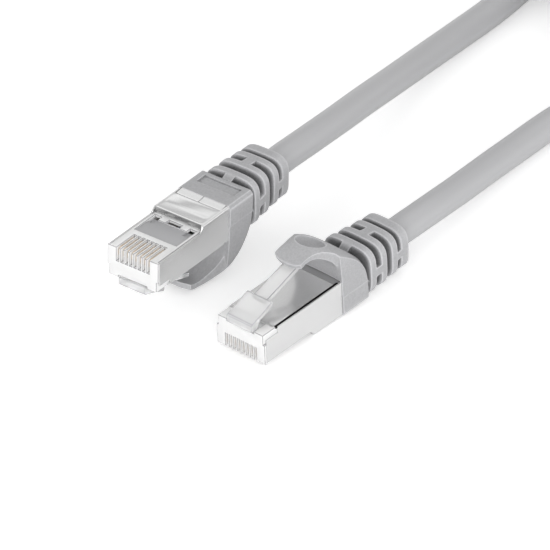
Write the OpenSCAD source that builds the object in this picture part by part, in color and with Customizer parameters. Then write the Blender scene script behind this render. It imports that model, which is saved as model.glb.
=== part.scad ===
// Shielded ethernet patch cable: two 8-contact modular plugs with moulded boots on one round
// cable. Plug A lies with its contacts up, plug B with its latch up, and the length between
// them is put away as a tied hank. Each plug is drawn in its own frame, with x from the nose
// to the cable, y across and z from the contact face (0) to the latch face, then placed.

/* [Plug] */
// Width of the clear nose
nose_w = 11.6; // [11.4:0.1:11.6]
// Height of the nose, from the contact face to the latch face
nose_h = 6.5; // [6.4:0.1:6.6]
// Length of the clear housing
housing_l = 20; // [19:0.5:20.4]
// Pitch of the eight contacts
pitch = 1.02; // [1.00:0.01:1.03]
// How far the contact side steps out behind the nose
step_h = 1.35; // [1.2:0.05:1.4]

/* [Shield] */
// Width over the metal shield
shield_w = 11.8; // [11.8:0.05:11.9]
// Thickness of the shield's sheet
sheet = 0.3; // [0.2:0.05:0.3]
// Where the contact-side plate begins, behind the nose
plate_x = 13.6; // [13.2:0.1:14]

/* [Latch] */
// Width of the latch at its locking shoulders
latch_w = 6.2; // [5.8:0.1:6.4]
// Width of the latch's lever
lever_w = 3.2; // [2.8:0.1:3.6]
// Slope of the latch at rest, in degrees
latch_tilt = 17; // [16:0.5:18]

/* [Boot] */
// Width of the boot's collar
boot_w = 12.3; // [12.2:0.1:12.6]
// Distance from the nose to the boot's rear end
boot_end = 42.5; // [42:0.5:45]
// Width of the finger pad on the hood
pad_w = 6.2; // [5.6:0.2:6.6]
// Width of the hood's moving middle
hood_w = 7.8; // [7.4:0.2:8]
// Clearance around the hood's moving middle
hood_gap = 0.15; // [0.12:0.01:0.2]

/* [Cable] */
// Outer diameter of the cable
cable_d = 6; // [5.6:0.1:6]
// Height of the cable's axis above the contact face
cable_z = 2.7; // [2.6:0.1:2.8]
// Diameter of one insulated wire
wire_d = 0.95; // [0.9:0.01:0.97]
// Diameter of a copper core
core_d = 0.48; // [0.4:0.02:0.5]

/* [Layout] */
// Nose of plug A: its place, and its turn and tilt in degrees
nose_a = [-23.13, 11.45, 15.63];
turn_a = 2.3; // [1:0.1:3]
tilt_a = -1; // [-1.5:0.1:0]
// Nose of plug B: its place, and its turn and tilt in degrees
nose_b = [-19.18, -11.45, 0.76];
turn_b = -2.3; // [-3:0.1:-1]
tilt_b = 2.5; // [2.3:0.1:3]

/* [Hank] */
// Where the hank's straight runs begin
hank_x = 133; // [132:1:140]
// Length of the hank's straight runs
hank_run = 40; // [36:1:44]
// Half the distance between the middles of the inner and of the outer runs
hank_inner = 18; // [18:0.2:19]
hank_outer = 24.4; // [24.2:0.2:25.4]
// Thickness and width of the ties
tie_t = 1; // [0.8:0.1:1.2]
tie_w = 9; // [6:1:12]

/* [Hidden] */
$fn = 64;
eps = 0.01;
far = 30;
inner_w = shield_w - 2 * sheet;
bare_x = 0.6;
latch_plate_x = 4.3;
latch_plate_end = 20.8;
plate_end = 20.4;
notch_z = 5.2;
step_x = 11.5;
tail_x = [20.6, 23.3];
tail_slit = 0.3;
shield_end = 25.5;
under_plate = nose_h - sheet;

contact_t = 0.35;
contact_x = [0.5, 5.4];
contact_z = [0.35, 1.9];
tine_x = [2.2, 3.9];
tine_l = 0.5;
slot_w = 0.5;
row_z = 3.0;
row_x = [1.2, 14];
fan_x = 17.5;
fan = 0.8;
ring_x = 25;
ring_r = 1.4;
// The place of each wire round the cable's axis, in degrees, from contact 1 to contact 8
ring_angle = [202.5, 157.5, 112.5, 247.5, 292.5, 67.5, 22.5, 337.5];
bar_x = [7, 13];
bar_w = 9;
bar_z = [0.9, 4.3];

foil_r = 2.1;
foil_t = 0.1;
jacket_x = 26.5;
jacket_bore = 2.35;
crimp_x = [26.5, 29];
crimp_r = 3.25;
drain_r = 0.12;
strap_w = 3;
strap_end = 26.9;
mould_x = [20.85, 27, 29.2];
mould_r = 3.75;

latch_pivot = [1.0, 7.0];
latch_root_r = 0.45;
latch_l = 6.3;
lever_l = 15.6;

hinge = [24.2, 11.0];
knuckle_r = 1.3;
// The hood's moving middle from the side: over the top from the tip, then back underneath
pad_top = [[13.3, 13.9], [16.5, 15.0], [19, 15.3], [20.7, 14.8], [22.3, 13.7], [24.7, 12.1]];
pad_under = [[23.3, 10.4], [22.3, 11.5], [20.8, 13.0], [19, 13.8], [16.5, 13.6], [13.3, 12.9]];
pad_root_x = 20.2;

boot_front = [22.9, 21.8];
boot_floor = -step_h - 0.1;
hood_h = 13.0;
collar_end = 29.5;
collar_top = [[21.8, 13], [23.6, 12], [25.5, 10.6], [27.3, 8.7], [28.6, 6.8], [29.2, 5], [29.5, 3]];
wall_x = 22.3;
arch_r = 5.2;
core_r = 3.9;
section_z = 2.8;
// Each ring: where it begins and ends, its half width, its top and its bottom
rings = [[30.7, 32.4, 5.9, 8.2, -2.1], [34.1, 35.7, 5.7, 7.9, -2.2],
         [37.4, 39.1, 5.4, 7.6, -2.1], [40.3, boot_end, 5.2, 7.4, -2.0]];
bridge_w = 2;
side_bridge_h = 1.3;
recess_x = [26, 28.5];
recess_w = 8.8;
recess_d = 0.2;

hank_low = tie_t;
layer = 6.2;
// The free cable between each boot and the hank, in round numbers
route_a = [[25, 13.4, 12.1], [33, 13.9, 11.6], [43, 15.1, 10.4], [54, 17.0, 8.6], [66, 19.1, 6.4],
           [78, 20.9, 4.6], [90, 21.9, 3.6], [102, 22.5, 3.2], [114, 23.4, 3.5], [124, 24.3, 3.9],
           [hank_x, hank_outer, hank_low + cable_d / 2]];
route_b = [[29, -13.4, 5.55], [36, -13.4, 5.5], [45, -12.9, 4.9], [55, -12.1, 4.2], [65, -11.5, 3.6],
           [75, -11.3, 3.4], [84, -12.2, 3.8], [93, -14.5, 5.2], [103, -18.2, 7.2], [113, -21.7, 9.0],
           [123, -23.8, 10.0], [hank_x, -hank_outer, hank_low + cable_d / 2 + layer]];
tube_sides = 12;

PLUGS = ["a", "b"];
PAIRS = ["blue", "orange", "green", "brown"];
// The two contacts of each pair
pair_pins = [[4, 5], [1, 2], [3, 6], [7, 8]];
PARTS = ["housing", "latch", "load_bar", "shield", "conductors", "foil", "drain_wire",
         "jacket_end", "inner_mould", "boot", "press_tab"];

// ---- placing a plug ----

module place(p) {
    if (p == "a")
        translate(nose_a) rotate([0, -tilt_a, turn_a]) rotate([180, 0, 0]) children();
    else
        translate(nose_b) rotate([0, -tilt_b, turn_b]) children();
}

// The same placing for a point, so that a route can start at a boot
function tilted(v, t) = [v[0] * cos(t) - v[2] * sin(t), v[1], v[0] * sin(t) + v[2] * cos(t)];
function turned(v, t) = [v[0] * cos(t) - v[1] * sin(t), v[0] * sin(t) + v[1] * cos(t), v[2]];
function placed(p, v) = p == "a"
    ? nose_a + turned(tilted([v[0], -v[1], -v[2]], tilt_a), turn_a)
    : nose_b + turned(tilted(v, tilt_b), turn_b);

// ---- helpers ----

// A block from its lowest to its highest corner
module block(low, high) translate(low) cube(high - low);

// A profile drawn in x and z, spread over a width across the plug
module slab(width) translate([0, width / 2, 0]) rotate([90, 0, 0]) linear_extrude(width) children();

// A cylinder along x
module rod(x0, x1, y, z, r) translate([x0, y, z]) rotate([0, 90, 0]) cylinder(r = r, h = x1 - x0);

// A cylinder between two points
module strut(p, q, r) {
    d = q - p;
    turn = atan2(d[1], d[0]);
    lean = acos(d[2] / norm(d));
    translate(p) rotate([0, lean, turn]) cylinder(r = r, h = norm(d));
}

// A flat ring of points at each place of a route, square to its way there
function ring_points(route, r) = let (last = len(route) - 1)
    [for (k = [0:last])
        let (way = route[min(k + 1, last)] - route[max(k - 1, 0)], t = way / norm(way),
             s = cross([0, 0, 1], t), side = s / norm(s), up = cross(t, side))
        for (j = [0:tube_sides - 1])
            route[k] + r * (cos(360 * j / tube_sides) * side + sin(360 * j / tube_sides) * up)];

// A tube swept along a route, solid or with a bore
module tube(route, r, bore = 0) {
    n = tube_sides;
    end = (len(route) - 1) * n;
    in = len(route) * n;
    walls = [for (k = [0:n:end - n]) for (j = [0:n - 1]) [k + j, k + n + j, k + n + (j + 1) % n, k + (j + 1) % n]];
    lining = [for (f = walls) [in + f[3], in + f[2], in + f[1], in + f[0]]];
    caps = [[for (j = [0:n - 1]) j], [for (j = [0:n - 1]) end + n - 1 - j]];
    rims = concat([for (j = [0:n - 1]) [j, (j + 1) % n, in + (j + 1) % n, in + j]],
                  [for (j = [0:n - 1]) [end + (j + 1) % n, end + j, in + end + j, in + end + (j + 1) % n]]);
    if (bore > 0)
        polyhedron(points = concat(ring_points(route, r), ring_points(route, bore)),
                   faces = concat(walls, lining, rims), convexity = 4);
    else
        polyhedron(points = ring_points(route, r), faces = concat(walls, caps), convexity = 4);
}

function pin_y(i) = (i - 4.5) * pitch;
function ring_place(i, x) = [x, ring_r * cos(ring_angle[i - 1]), cable_z + ring_r * sin(ring_angle[i - 1])];

// One wire's whole way: along the row, fanned out above and below it, down to the cable and on
function wire_way(i) = [[row_x[0], pin_y(i), row_z], [row_x[1], pin_y(i), row_z],
    [fan_x, pin_y(i), row_z + fan * ring_r * sin(ring_angle[i - 1])],
    ring_place(i, ring_x), ring_place(i, boot_end)];

// A contact's two tines, which pierce its wire as far as the core's middle
module tines(i) {
    for (x = tine_x)
        block([x, pin_y(i) - contact_t / 2, contact_z[1] - eps], [x + tine_l, pin_y(i) + contact_t / 2, row_z]);
}

// ---- inside the plug ----

module contact(i) color("gold") {
    corner = 0.8;
    translate([0, pin_y(i) + contact_t / 2, 0]) rotate([90, 0, 0]) linear_extrude(contact_t) {
        translate([contact_x[0] + corner, contact_z[0]])
            square([contact_x[1] - contact_x[0] - corner, contact_z[1] - contact_z[0]]);
        translate([contact_x[0], contact_z[0] + corner])
            square([corner + eps, contact_z[1] - contact_z[0] - corner]);
        translate([contact_x[0] + corner, contact_z[0] + corner]) circle(r = corner);
    }
    tines(i);
}

module wire_pair(pins, tint) color(tint)
    for (i = pins) difference() {
        tube(wire_way(i), wire_d / 2, core_d / 2);
        tines(i);
    }

module conductors() color("darkorange")
    for (i = [1:8]) difference() {
        tube(wire_way(i), core_d / 2);
        tines(i);
    }

module load_bar() color("whitesmoke") difference() {
    block([bar_x[0], -bar_w / 2, bar_z[0]], [bar_x[1], bar_w / 2, bar_z[1]]);
    for (i = [1:8]) rod(bar_x[0] - 1, bar_x[1] + 1, pin_y(i), row_z, wire_d / 2 + eps);
}

module foil() color("silver") difference() {
    rod(jacket_x - 0.4, boot_end, 0, cable_z, foil_r);
    rod(jacket_x - 1, boot_end + 1, 0, cable_z, foil_r - foil_t);
}

// The drain wire comes out of the foil and folds back over the jacket, under the crimp
module drain_wire() color("silver") {
    inside = cable_z - foil_r - drain_r;
    outside = cable_z - cable_d / 2 - drain_r;
    turn_x = jacket_x - 0.2;
    rod(turn_x, boot_end, 0, inside, drain_r);
    rod(turn_x, crimp_x[1], 0, outside, drain_r);
    translate([turn_x, 0, outside]) cylinder(r = drain_r, h = inside - outside);
    for (z = [inside, outside]) translate([turn_x, 0, z]) sphere(r = drain_r, $fn = 32);
}

module jacket_end() color("darkgray") difference() {
    rod(jacket_x, boot_end, 0, cable_z, cable_d / 2);
    rod(jacket_x - 1, boot_end + 1, 0, cable_z, jacket_bore);
}

// ---- housing, latch and shield ----

module housing() color([0.9, 0.95, 1, 0.4]) difference() {
    union() {
        block([0, -nose_w / 2, 0], [bare_x, nose_w / 2, nose_h]);
        block([bare_x - eps, -inner_w / 2, 0], [latch_plate_x, inner_w / 2, nose_h]);
        block([latch_plate_x - eps, -inner_w / 2, 0], [housing_l, inner_w / 2, under_plate]);
        slab(inner_w) polygon([[step_x, 0.5], [step_x, 0], [plate_x, sheet - step_h],
            [housing_l, sheet - step_h], [housing_l, 0.5]]);
    }
    // Contact slots, open at the face and at the nose
    for (i = [1:8]) {
        block([-1, pin_y(i) - slot_w / 2, -1], [contact_x[1] + 0.2, pin_y(i) + slot_w / 2, 2.1]);
        block([1.6, pin_y(i) - slot_w / 2, 2], [contact_x[1] + 0.2, pin_y(i) + slot_w / 2, row_z + 0.1]);
    }
    // Room for the wires, the load bar and the way in from the rear
    block([1, -4.2, row_z - 0.6], [bar_x[0], 4.2, row_z + 0.6]);
    block([bar_x[0] - 0.2, -bar_w / 2, bar_z[0]], [bar_x[1] + 0.2, bar_w / 2, bar_z[1]]);
    block([bar_x[1], -4.6, 0.6], [housing_l + 1, 4.6, 5]);
}

// The latch stands clear of the nose on its living hinge, and its lever runs under the pad
module latch() color([0.9, 0.95, 1, 0.4])
    translate([latch_pivot[0], 0, latch_pivot[1]]) rotate([0, -latch_tilt, 0]) {
        rotate([90, 0, 0]) cylinder(r = latch_root_r, h = latch_w, center = true);
        block([0, -latch_w / 2, -0.45], [latch_l, latch_w / 2, 0.7]);
        slab(lever_w) polygon([[latch_l - 1.6, 0.2], [latch_l - 0.9, 1.15], [lever_l - 0.4, 1.15],
            [lever_l, 0.75], [lever_l, 0], [latch_l - 1.6, 0]]);
    }

// The side walls and plates as one folded sheet, with the crimp round the cable
module shield() color("gainsboro") {
    for (s = [-1, 1])
        translate([0, s * (shield_w - sheet) / 2, 0]) slab(sheet)
            polygon([[bare_x, 0], [step_x, 0], [plate_x, -step_h], [shield_end, -step_h],
                [shield_end, nose_h], [latch_plate_x, nose_h], [latch_plate_x, notch_z], [bare_x, notch_z]]);
    block([latch_plate_x, -shield_w / 2, under_plate], [latch_plate_end, shield_w / 2, nose_h]);
    difference() {
        block([plate_x, -shield_w / 2, -step_h], [plate_end, shield_w / 2, sheet - step_h]);
        block([17.2, -4.6, -step_h - 1], [19.9, 4.6, 0.1 - step_h]);
    }
    // Lip in front of the contact-side plate
    slab(shield_w - 2 * sheet + eps) polygon([[plate_x + eps, -step_h], [plate_x + eps, sheet - step_h],
        [plate_x, sheet - step_h], [12.4, -0.45], [12.25, -0.72]]);
    // The two tails that fold over behind the plate
    for (s = [-1, 1])
        block([tail_x[0], s > 0 ? tail_slit / 2 : -shield_w / 2, -step_h],
              [tail_x[1], s > 0 ? shield_w / 2 : -tail_slit / 2, sheet - step_h]);
    block([latch_plate_end - eps, -strap_w / 2, under_plate], [strap_end, strap_w / 2, nose_h]);
    block([crimp_x[0], -strap_w / 2, cable_z + crimp_r], [strap_end, strap_w / 2, nose_h]);
    difference() {
        rod(crimp_x[0], crimp_x[1], 0, cable_z, crimp_r + sheet);
        rod(crimp_x[0] - 1, crimp_x[1] + 1, 0, cable_z, crimp_r);
    }
}

// ---- boot ----

// The space that the boot is moulded round: the shield, the inner mould and the jacket
module mould_shape() {
    block([mould_x[0], -inner_w / 2, sheet - step_h], [mould_x[1], inner_w / 2, under_plate]);
    rod(mould_x[1] - eps, mould_x[2], 0, cable_z, mould_r);
}

module inner_mould() color("gray") difference() {
    mould_shape();
    block([mould_x[0] - 1, -4.6, 0.6], [24.6, 4.6, 5]);
    rod(24, jacket_x, 0, cable_z, 2.6);
    rod(crimp_x[0] - 0.4, crimp_x[1], 0, cable_z, crimp_r + sheet);
    rod(crimp_x[1] - 1, mould_x[2] + 1, 0, cable_z, cable_d / 2);
    block([crimp_x[0] - 0.4, -strap_w / 2, cable_z + crimp_r - eps], [strap_end, strap_w / 2, nose_h]);
}

// A ring of the strain relief: a disc with flattened sides, top and bottom
module relief_ring(x0, x1, half_w, top, bottom) {
    middle = (top + bottom) / 2;
    half_h = (top - bottom) / 2;
    intersection() {
        rod(x0, x1, 0, middle, half_w * 1.16);
        block([x0, -half_w, middle - half_h], [x1, half_w, middle + half_h]);
    }
}

module collar() difference() {
    slab(boot_w) polygon(concat([[boot_front[0], boot_floor]], collar_top, [[collar_end, boot_floor]]));
    // Recess on the contact side
    block([recess_x[0], -recess_w / 2, boot_floor - 1], [recess_x[1], recess_w / 2, boot_floor + recess_d]);
    // Mouth for the shield, and the arched way in for the latch's lever
    block([21, -shield_w / 2, -step_h], [mould_x[1], shield_w / 2, nose_h]);
    block([21, -arch_r, nose_h - eps], [wall_x, arch_r, nose_h + 0.5]);
    rod(21, wall_x, 0, nose_h + 0.5, arch_r);
    // Room for the hood's moving middle
    block([21, -hood_w / 2 - hood_gap, 9.5], [hinge[0], hood_w / 2 + hood_gap, hood_h + 1]);
    translate([hinge[0], 0, hinge[1]]) rotate([90, 0, 0])
        cylinder(r = knuckle_r + hood_gap, h = hood_w + 2 * hood_gap, center = true);
}

module boot() color("darkgray") difference() {
    union() {
        collar();
        rod(collar_end - 1, boot_end, 0, section_z, core_r);
        for (r = rings) relief_ring(r[0], r[1], r[2], r[3], r[4]);
        // Webs between the rings, by turns at the top and bottom and at the sides
        block([collar_end - eps, -bridge_w / 2, -1.9], [rings[0][0] + eps, bridge_w / 2, 7.9]);
        block([rings[1][1] - eps, -bridge_w / 2, -1.9], [rings[2][0] + eps, bridge_w / 2, 7.4]);
        for (g = [0, 2])
            block([rings[g][1] - eps, -rings[g + 1][2] + 0.1, section_z - side_bridge_h / 2],
                  [rings[g + 1][0] + eps, rings[g + 1][2] - 0.1, section_z + side_bridge_h / 2]);
    }
    mould_shape();
    rod(mould_x[2] - 1, boot_end + 1, 0, cable_z, cable_d / 2);
}

// The hood's middle with its finger pad, which bends down onto the latch's lever
module press_tab() color("darkgray") {
    intersection() {
        slab(hood_w) polygon(concat(pad_top, pad_under));
        union() {
            block([0, -pad_w / 2, 0], [pad_root_x, pad_w / 2, far]);
            block([pad_root_x - eps, -hood_w / 2, 0], [far, hood_w / 2, far]);
        }
    }
    translate([hinge[0], 0, hinge[1]]) rotate([90, 0, 0]) cylinder(r = knuckle_r, h = hood_w, center = true);
}

// ---- cable ----

// The route leaves the boot straight, along the plug's own axis
module cable_run(p, route) color("darkgray")
    tube(concat([placed(p, [boot_end, 0, cable_z]), placed(p, [boot_end + 3, 0, cable_z])], route), cable_d / 2);

module stadium(r) {
    for (x = [0, hank_run]) translate([hank_x + x, 0]) circle(r = r);
    translate([hank_x, -r]) square([hank_run, 2 * r]);
}

module cable_hank() color("darkgray")
    translate([0, 0, hank_low]) linear_extrude(cable_d + layer) difference() {
        stadium(hank_outer + cable_d / 2);
        stadium(hank_inner - cable_d / 2);
    }

// A hook-and-loop strap round one side of the hank
module hank_tie(s) color("dimgray")
    translate([hank_x + hank_run / 2 - tie_w / 2, s * (hank_outer + hank_inner) / 2, hank_low])
        translate([0, -(hank_outer - hank_inner + cable_d) / 2, 0]) difference() {
            translate([0, -tie_t, -tie_t])
                cube([tie_w, hank_outer - hank_inner + cable_d + 2 * tie_t, cable_d + layer + 2 * tie_t]);
            translate([-1, 0, 0]) cube([tie_w + 2, hank_outer - hank_inner + cable_d, cable_d + layer]);
        }

// ---- the nodes ----

for (p = PLUGS) place(p) {
    housing();
    latch();
    load_bar();
    shield();
    conductors();
    foil();
    drain_wire();
    jacket_end();
    inner_mould();
    boot();
    press_tab();
    for (i = [1:8]) contact(i);
    for (c = [0:3]) wire_pair(pair_pins[c], PAIRS[c]);
}
cable_run("a", route_a);  // cable_run_a
cable_run("b", route_b);  // cable_run_b
cable_hank();
hank_tie(1);  // hank_tie_left
hank_tie(-1);  // hank_tie_right
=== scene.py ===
# %% [markdown]
# # Dressing an ethernet patch cable
#
# Two modular plugs sit on one grey cable: plug A lies with its contacts up, plug B with its
# latch up. The frame brings exact CAD solids, and this lesson gives them their looks, piece by
# piece, in the same place. Lengths are in metres, and `MM` turns millimetres into them. Each
# piece could be modelled twice, once on each plug, but both plugs are the same product. So it is
# modelled once in a plug's own frame, with x from the nose to the cable, y across and z from
# the contact face to the latch face, and `PLACE` lays it where the CAD has it.

# %% Frame
import math

import bmesh
import bpy
from mathutils import Matrix, Vector, noise


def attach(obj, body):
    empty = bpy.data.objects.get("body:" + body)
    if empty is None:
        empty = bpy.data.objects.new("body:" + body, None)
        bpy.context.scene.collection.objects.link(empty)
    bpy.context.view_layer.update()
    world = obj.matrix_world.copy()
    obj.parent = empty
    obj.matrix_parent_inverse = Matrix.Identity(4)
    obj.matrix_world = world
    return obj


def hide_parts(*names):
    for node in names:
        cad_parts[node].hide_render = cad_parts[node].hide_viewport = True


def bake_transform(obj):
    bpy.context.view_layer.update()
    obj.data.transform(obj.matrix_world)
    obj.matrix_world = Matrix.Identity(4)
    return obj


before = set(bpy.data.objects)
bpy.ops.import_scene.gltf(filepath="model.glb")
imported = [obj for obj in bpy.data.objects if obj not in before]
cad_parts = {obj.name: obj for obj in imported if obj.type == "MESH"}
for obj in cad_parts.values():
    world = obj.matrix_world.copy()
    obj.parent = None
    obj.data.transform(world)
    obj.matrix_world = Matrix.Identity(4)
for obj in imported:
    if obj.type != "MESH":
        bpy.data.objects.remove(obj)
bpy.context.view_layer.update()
MM = 0.001


def placing(nose, tilt, turn, flipped):
    """The matrix from a plug's own millimetres to the frame's metres."""
    matrix = Matrix.Translation(Vector(nose) * MM)
    matrix = matrix @ Matrix.Rotation(math.radians(turn), 4, "Z")
    matrix = matrix @ Matrix.Rotation(math.radians(-tilt), 4, "Y")
    if flipped:
        matrix = matrix @ Matrix.Rotation(math.pi, 4, "X")
    return matrix @ Matrix.Scale(MM, 4)


PLACE = {
    "a": placing((-23.13, 11.45, 15.63), tilt=-1, turn=2.3, flipped=True),
    "b": placing((-19.18, -11.45, 0.76), tilt=2.5, turn=-2.3, flipped=False),
    "frame": Matrix.Scale(MM, 4),
}
for plug in "ab":
    print("plug", plug, "has its nose at", [round(c, 4) for c in PLACE[plug].translation])

# %% [markdown]
# A camera can stand close with a short lens, or far off with a long one. The long lens shows
# the plugs almost without perspective, so parallel edges stay parallel. It looks down on the
# plugs from their noses' side. LOOK_TURN and LOOK_DOWN are degrees, and FRAME_WIDTH is how
# much of the world fits across the view at the point it aims at. Past FAR_CLIP nothing is drawn.

# %% Camera
LOOK_TURN = 51.3
LOOK_DOWN = 34
FRAME_WIDTH = 103.8 * MM
LENS = 700
SENSOR = 36
FAR_CLIP = 20
AIM = Vector((0.35, -3.9, 5.0)) * MM

ahead = Vector((math.sin(math.radians(LOOK_TURN)), math.cos(math.radians(LOOK_TURN)), 0))
look = ahead * math.cos(math.radians(LOOK_DOWN)) - Vector((0, 0, math.sin(math.radians(LOOK_DOWN))))
camera_data = bpy.data.cameras.new("camera")
camera_data.lens = LENS
camera_data.sensor_width = SENSOR
camera = bpy.data.objects.new("camera", camera_data)
bpy.context.collection.objects.link(camera)
camera.location = AIM - look * (FRAME_WIDTH * LENS / SENSOR)
camera.rotation_euler = look.to_track_quat("-Z", "Y").to_euler()
camera_data.clip_end = FAR_CLIP
bpy.context.scene.camera = camera
print("camera", [round(c, 3) for c in camera.location])

# %% [markdown]
# ## The finishes
#
# Moulded plastic, rolled nickel and cable jacket are never one flat colour: each has a fine
# grain that mottles the colour, varies the gloss and dents the surface. Every material could
# carry its own noise nodes, but the grain works the same way in all of them. So it is built once
# as a node group, and each material sets its own values. `Grains` is how many grains go into a
# metre, and `Depth` is how deep they are in metres. The group also reads an attribute called
# edge, which carries painted light: painted highlights on the outer edges and painted shade in
# the grooves and recesses of a piece that has them.

# %% Grain
GRAIN_INPUTS = {
    "Color": ("NodeSocketColor", (1, 1, 1, 1)),
    "Mottle": ("NodeSocketFloat", 0.05),
    "Roughness": ("NodeSocketFloat", 0.5),
    "Spread": ("NodeSocketFloat", 0.1),
    "Grains": ("NodeSocketFloat", 4000.0),
    "Depth": ("NodeSocketFloat", 0.00001),
    # This input scales the painted highlights and painted shade that the edge attribute carries
    "Edge": ("NodeSocketFloat", 0.0),
}
GRAIN_OUTPUTS = {"Color": "NodeSocketColor", "Roughness": "NodeSocketFloat", "Normal": "NodeSocketVector"}
SPECKLE_DETAIL = 3


def maths(tree, operation, *values):
    """A maths node fed with numbers or other nodes' outputs, and what it puts out."""
    node = tree.nodes.new("ShaderNodeMath")
    node.operation = operation
    for socket, value in zip(node.inputs, values):
        if isinstance(value, bpy.types.NodeSocket):
            tree.links.new(value, socket)
        else:
            socket.default_value = value
    return node.outputs[0]


def grain_group():
    """The node group that every finish shares."""
    group = bpy.data.node_groups.new("grain", "ShaderNodeTree")
    for name, (kind, start) in GRAIN_INPUTS.items():
        socket = group.interface.new_socket(name, in_out="INPUT", socket_type=kind)
        socket.default_value = start
    for name, kind in GRAIN_OUTPUTS.items():
        group.interface.new_socket(name, in_out="OUTPUT", socket_type=kind)
    nodes, links = group.nodes, group.links
    given = nodes.new("NodeGroupInput")
    result = nodes.new("NodeGroupOutput")
    # One noise in the piece's own coordinates, from -0.5 to 0.5 about its middle
    place = nodes.new("ShaderNodeTexCoord")
    speckle = nodes.new("ShaderNodeTexNoise")
    speckle.inputs["Detail"].default_value = SPECKLE_DETAIL
    links.new(place.outputs["Object"], speckle.inputs["Vector"])
    links.new(given.outputs["Grains"], speckle.inputs["Scale"])
    centred = maths(group, "SUBTRACT", speckle.outputs["Fac"], 0.5)
    # The colour times 1 + mottle + the painted highlight and painted shade of the edge attribute
    mottle = maths(group, "MULTIPLY", centred, given.outputs["Mottle"])
    # The edge attribute brings painted light: a painted highlight above 0, painted shade below 0
    edge = nodes.new("ShaderNodeAttribute")
    edge.attribute_name = "edge"
    painted_light = maths(group, "MULTIPLY", edge.outputs["Fac"], given.outputs["Edge"])
    both = maths(group, "ADD", mottle, painted_light)
    shade = maths(group, "ADD", both, 1.0)
    colour = nodes.new("ShaderNodeVectorMath")
    colour.operation = "SCALE"
    links.new(given.outputs["Color"], colour.inputs[0])
    links.new(shade, colour.inputs["Scale"])
    links.new(colour.outputs[0], result.inputs["Color"])
    # The same noise spreads the roughness and dents the surface
    gloss = maths(group, "MULTIPLY_ADD", centred, given.outputs["Spread"], given.outputs["Roughness"])
    links.new(gloss, result.inputs["Roughness"])
    bump = nodes.new("ShaderNodeBump")
    bump.inputs["Strength"].default_value = 1.0
    links.new(speckle.outputs["Fac"], bump.inputs["Height"])
    links.new(given.outputs["Depth"], bump.inputs["Distance"])
    links.new(bump.outputs["Normal"], result.inputs["Normal"])
    return group


grain = grain_group()
print("grain:", len(grain.nodes), "nodes")

# %% [markdown]
# A finish is a Principled shader with the grain plugged into its colour, roughness and normal.
# What is the same all over, such as how metallic it is, is set on the shader itself. Each finish
# is mixed beside the first piece that wears it. The jacket's is here: smooth grey vinyl with a
# soft shine.

# %% Mixing a finish
def finish(name, colour, metallic=0.0, specular=0.5, **given):
    """A material whose colour, roughness and normal come from the grain group."""
    look = bpy.data.materials.new(name)
    look.use_nodes = True
    nodes, links = look.node_tree.nodes, look.node_tree.links
    shader = nodes["Principled BSDF"]
    shader.inputs["Metallic"].default_value = metallic
    shader.inputs["Specular IOR Level"].default_value = specular
    grains = nodes.new("ShaderNodeGroup")
    grains.node_tree = grain
    grains.inputs["Color"].default_value = (*colour, 1)
    for socket, value in given.items():
        grains.inputs[socket].default_value = value
    links.new(grains.outputs["Color"], shader.inputs["Base Color"])
    links.new(grains.outputs["Roughness"], shader.inputs["Roughness"])
    links.new(grains.outputs["Normal"], shader.inputs["Normal"])
    return look


jacket_plastic = finish("jacket_plastic", (0.45, 0.45, 0.46), specular=0.7, Mottle=0.04, Roughness=0.3,
                        Spread=0.1, Grains=2500, Depth=0.000004)
print("finish", jacket_plastic.name)

# %% [markdown]
# ## The cable
#
# The real cable is a round jacket over four twisted pairs. It is stiff enough to leave each boot
# straight, and then sags to the floor. A simulation could lay it, but a row of listed points is
# easier to steer, and a rounded line through them bends as a cable does. The points are in
# millimetres of the frame.

# %% Cable route
CABLE_D = 6.0
CABLE_R = CABLE_D / 2
# The cable's height in a plug's own frame, and where the boot ends
CABLE_Z = 2.7
BOOT_END = 42.5
# The middle of each cable on its way from the boot to the hank
ROUTE_A = [(25, 13.4, 12.1), (33, 13.9, 11.6), (43, 15.1, 10.4), (54, 17.0, 8.6), (66, 19.1, 6.4),
           (78, 20.9, 4.6), (90, 21.9, 3.6), (102, 22.5, 3.2), (114, 23.4, 3.5), (124, 24.3, 3.9)]
ROUTE_B = [(29, -13.4, 5.55), (36, -13.4, 5.5), (45, -12.9, 4.9), (55, -12.1, 4.2), (65, -11.5, 3.6),
           (75, -11.3, 3.4), (84, -12.2, 3.8), (93, -14.5, 5.2), (103, -18.2, 7.2), (113, -21.7, 9.0),
           (123, -23.8, 10.0)]


def boot_exit(plug, beyond=0):
    """A point on the cable's axis at the end of a boot, in millimetres of the frame."""
    return tuple(PLACE[plug] @ Vector((BOOT_END + beyond, 0, CABLE_Z)) / MM)


def smooth(points, step=1.5):
    """A rounded line through points, about one point every step."""
    line = []
    padded = [points[0]] + points + [points[-1]]
    for before, here, there, after in zip(padded, padded[1:], padded[2:], padded[3:]):
        p0, p1, p2, p3 = map(Vector, (before, here, there, after))
        count = max(1, round((p2 - p1).length / step))
        for k in range(count):
            t = k / count
            line.append(tuple(0.5 * (2 * p1 + (p2 - p0) * t + (2 * p0 - 5 * p1 + 4 * p2 - p3) * t * t
                                     + (3 * p1 - p0 - 3 * p2 + p3) * t ** 3)))
    return line + [points[-1]]


print("boots end at", [[round(c, 1) for c in boot_exit(plug)] for plug in "ab"])

# %% [markdown]
# The cable is longer than what lies between the plugs, so the rest is put away in a flat hank:
# four turns, two beside each other below and two above. A spiral would slant across its
# neighbours, so each turn keeps its own lane instead. Only one end turn climbs from the lower
# layer to the upper one, and the turns beside it give way.

# %% Hank
# Where the straight sides start along x, how long they are, and the radii of the end turns
HANK_X = 133
HANK_RUN = 40
HANK_INNER = 18
HANK_OUTER = 24.4
# The height of the lower layer, and from there up to the next
HANK_LOW = 4.0
LAYER = 6.2


def climb(t):
    """How far the climbing end turn has come up, from 0 to 1, level at both ends."""
    return math.sin(math.pi / 2 * math.sin(math.pi / 2 * t) ** 2) ** 2


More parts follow.
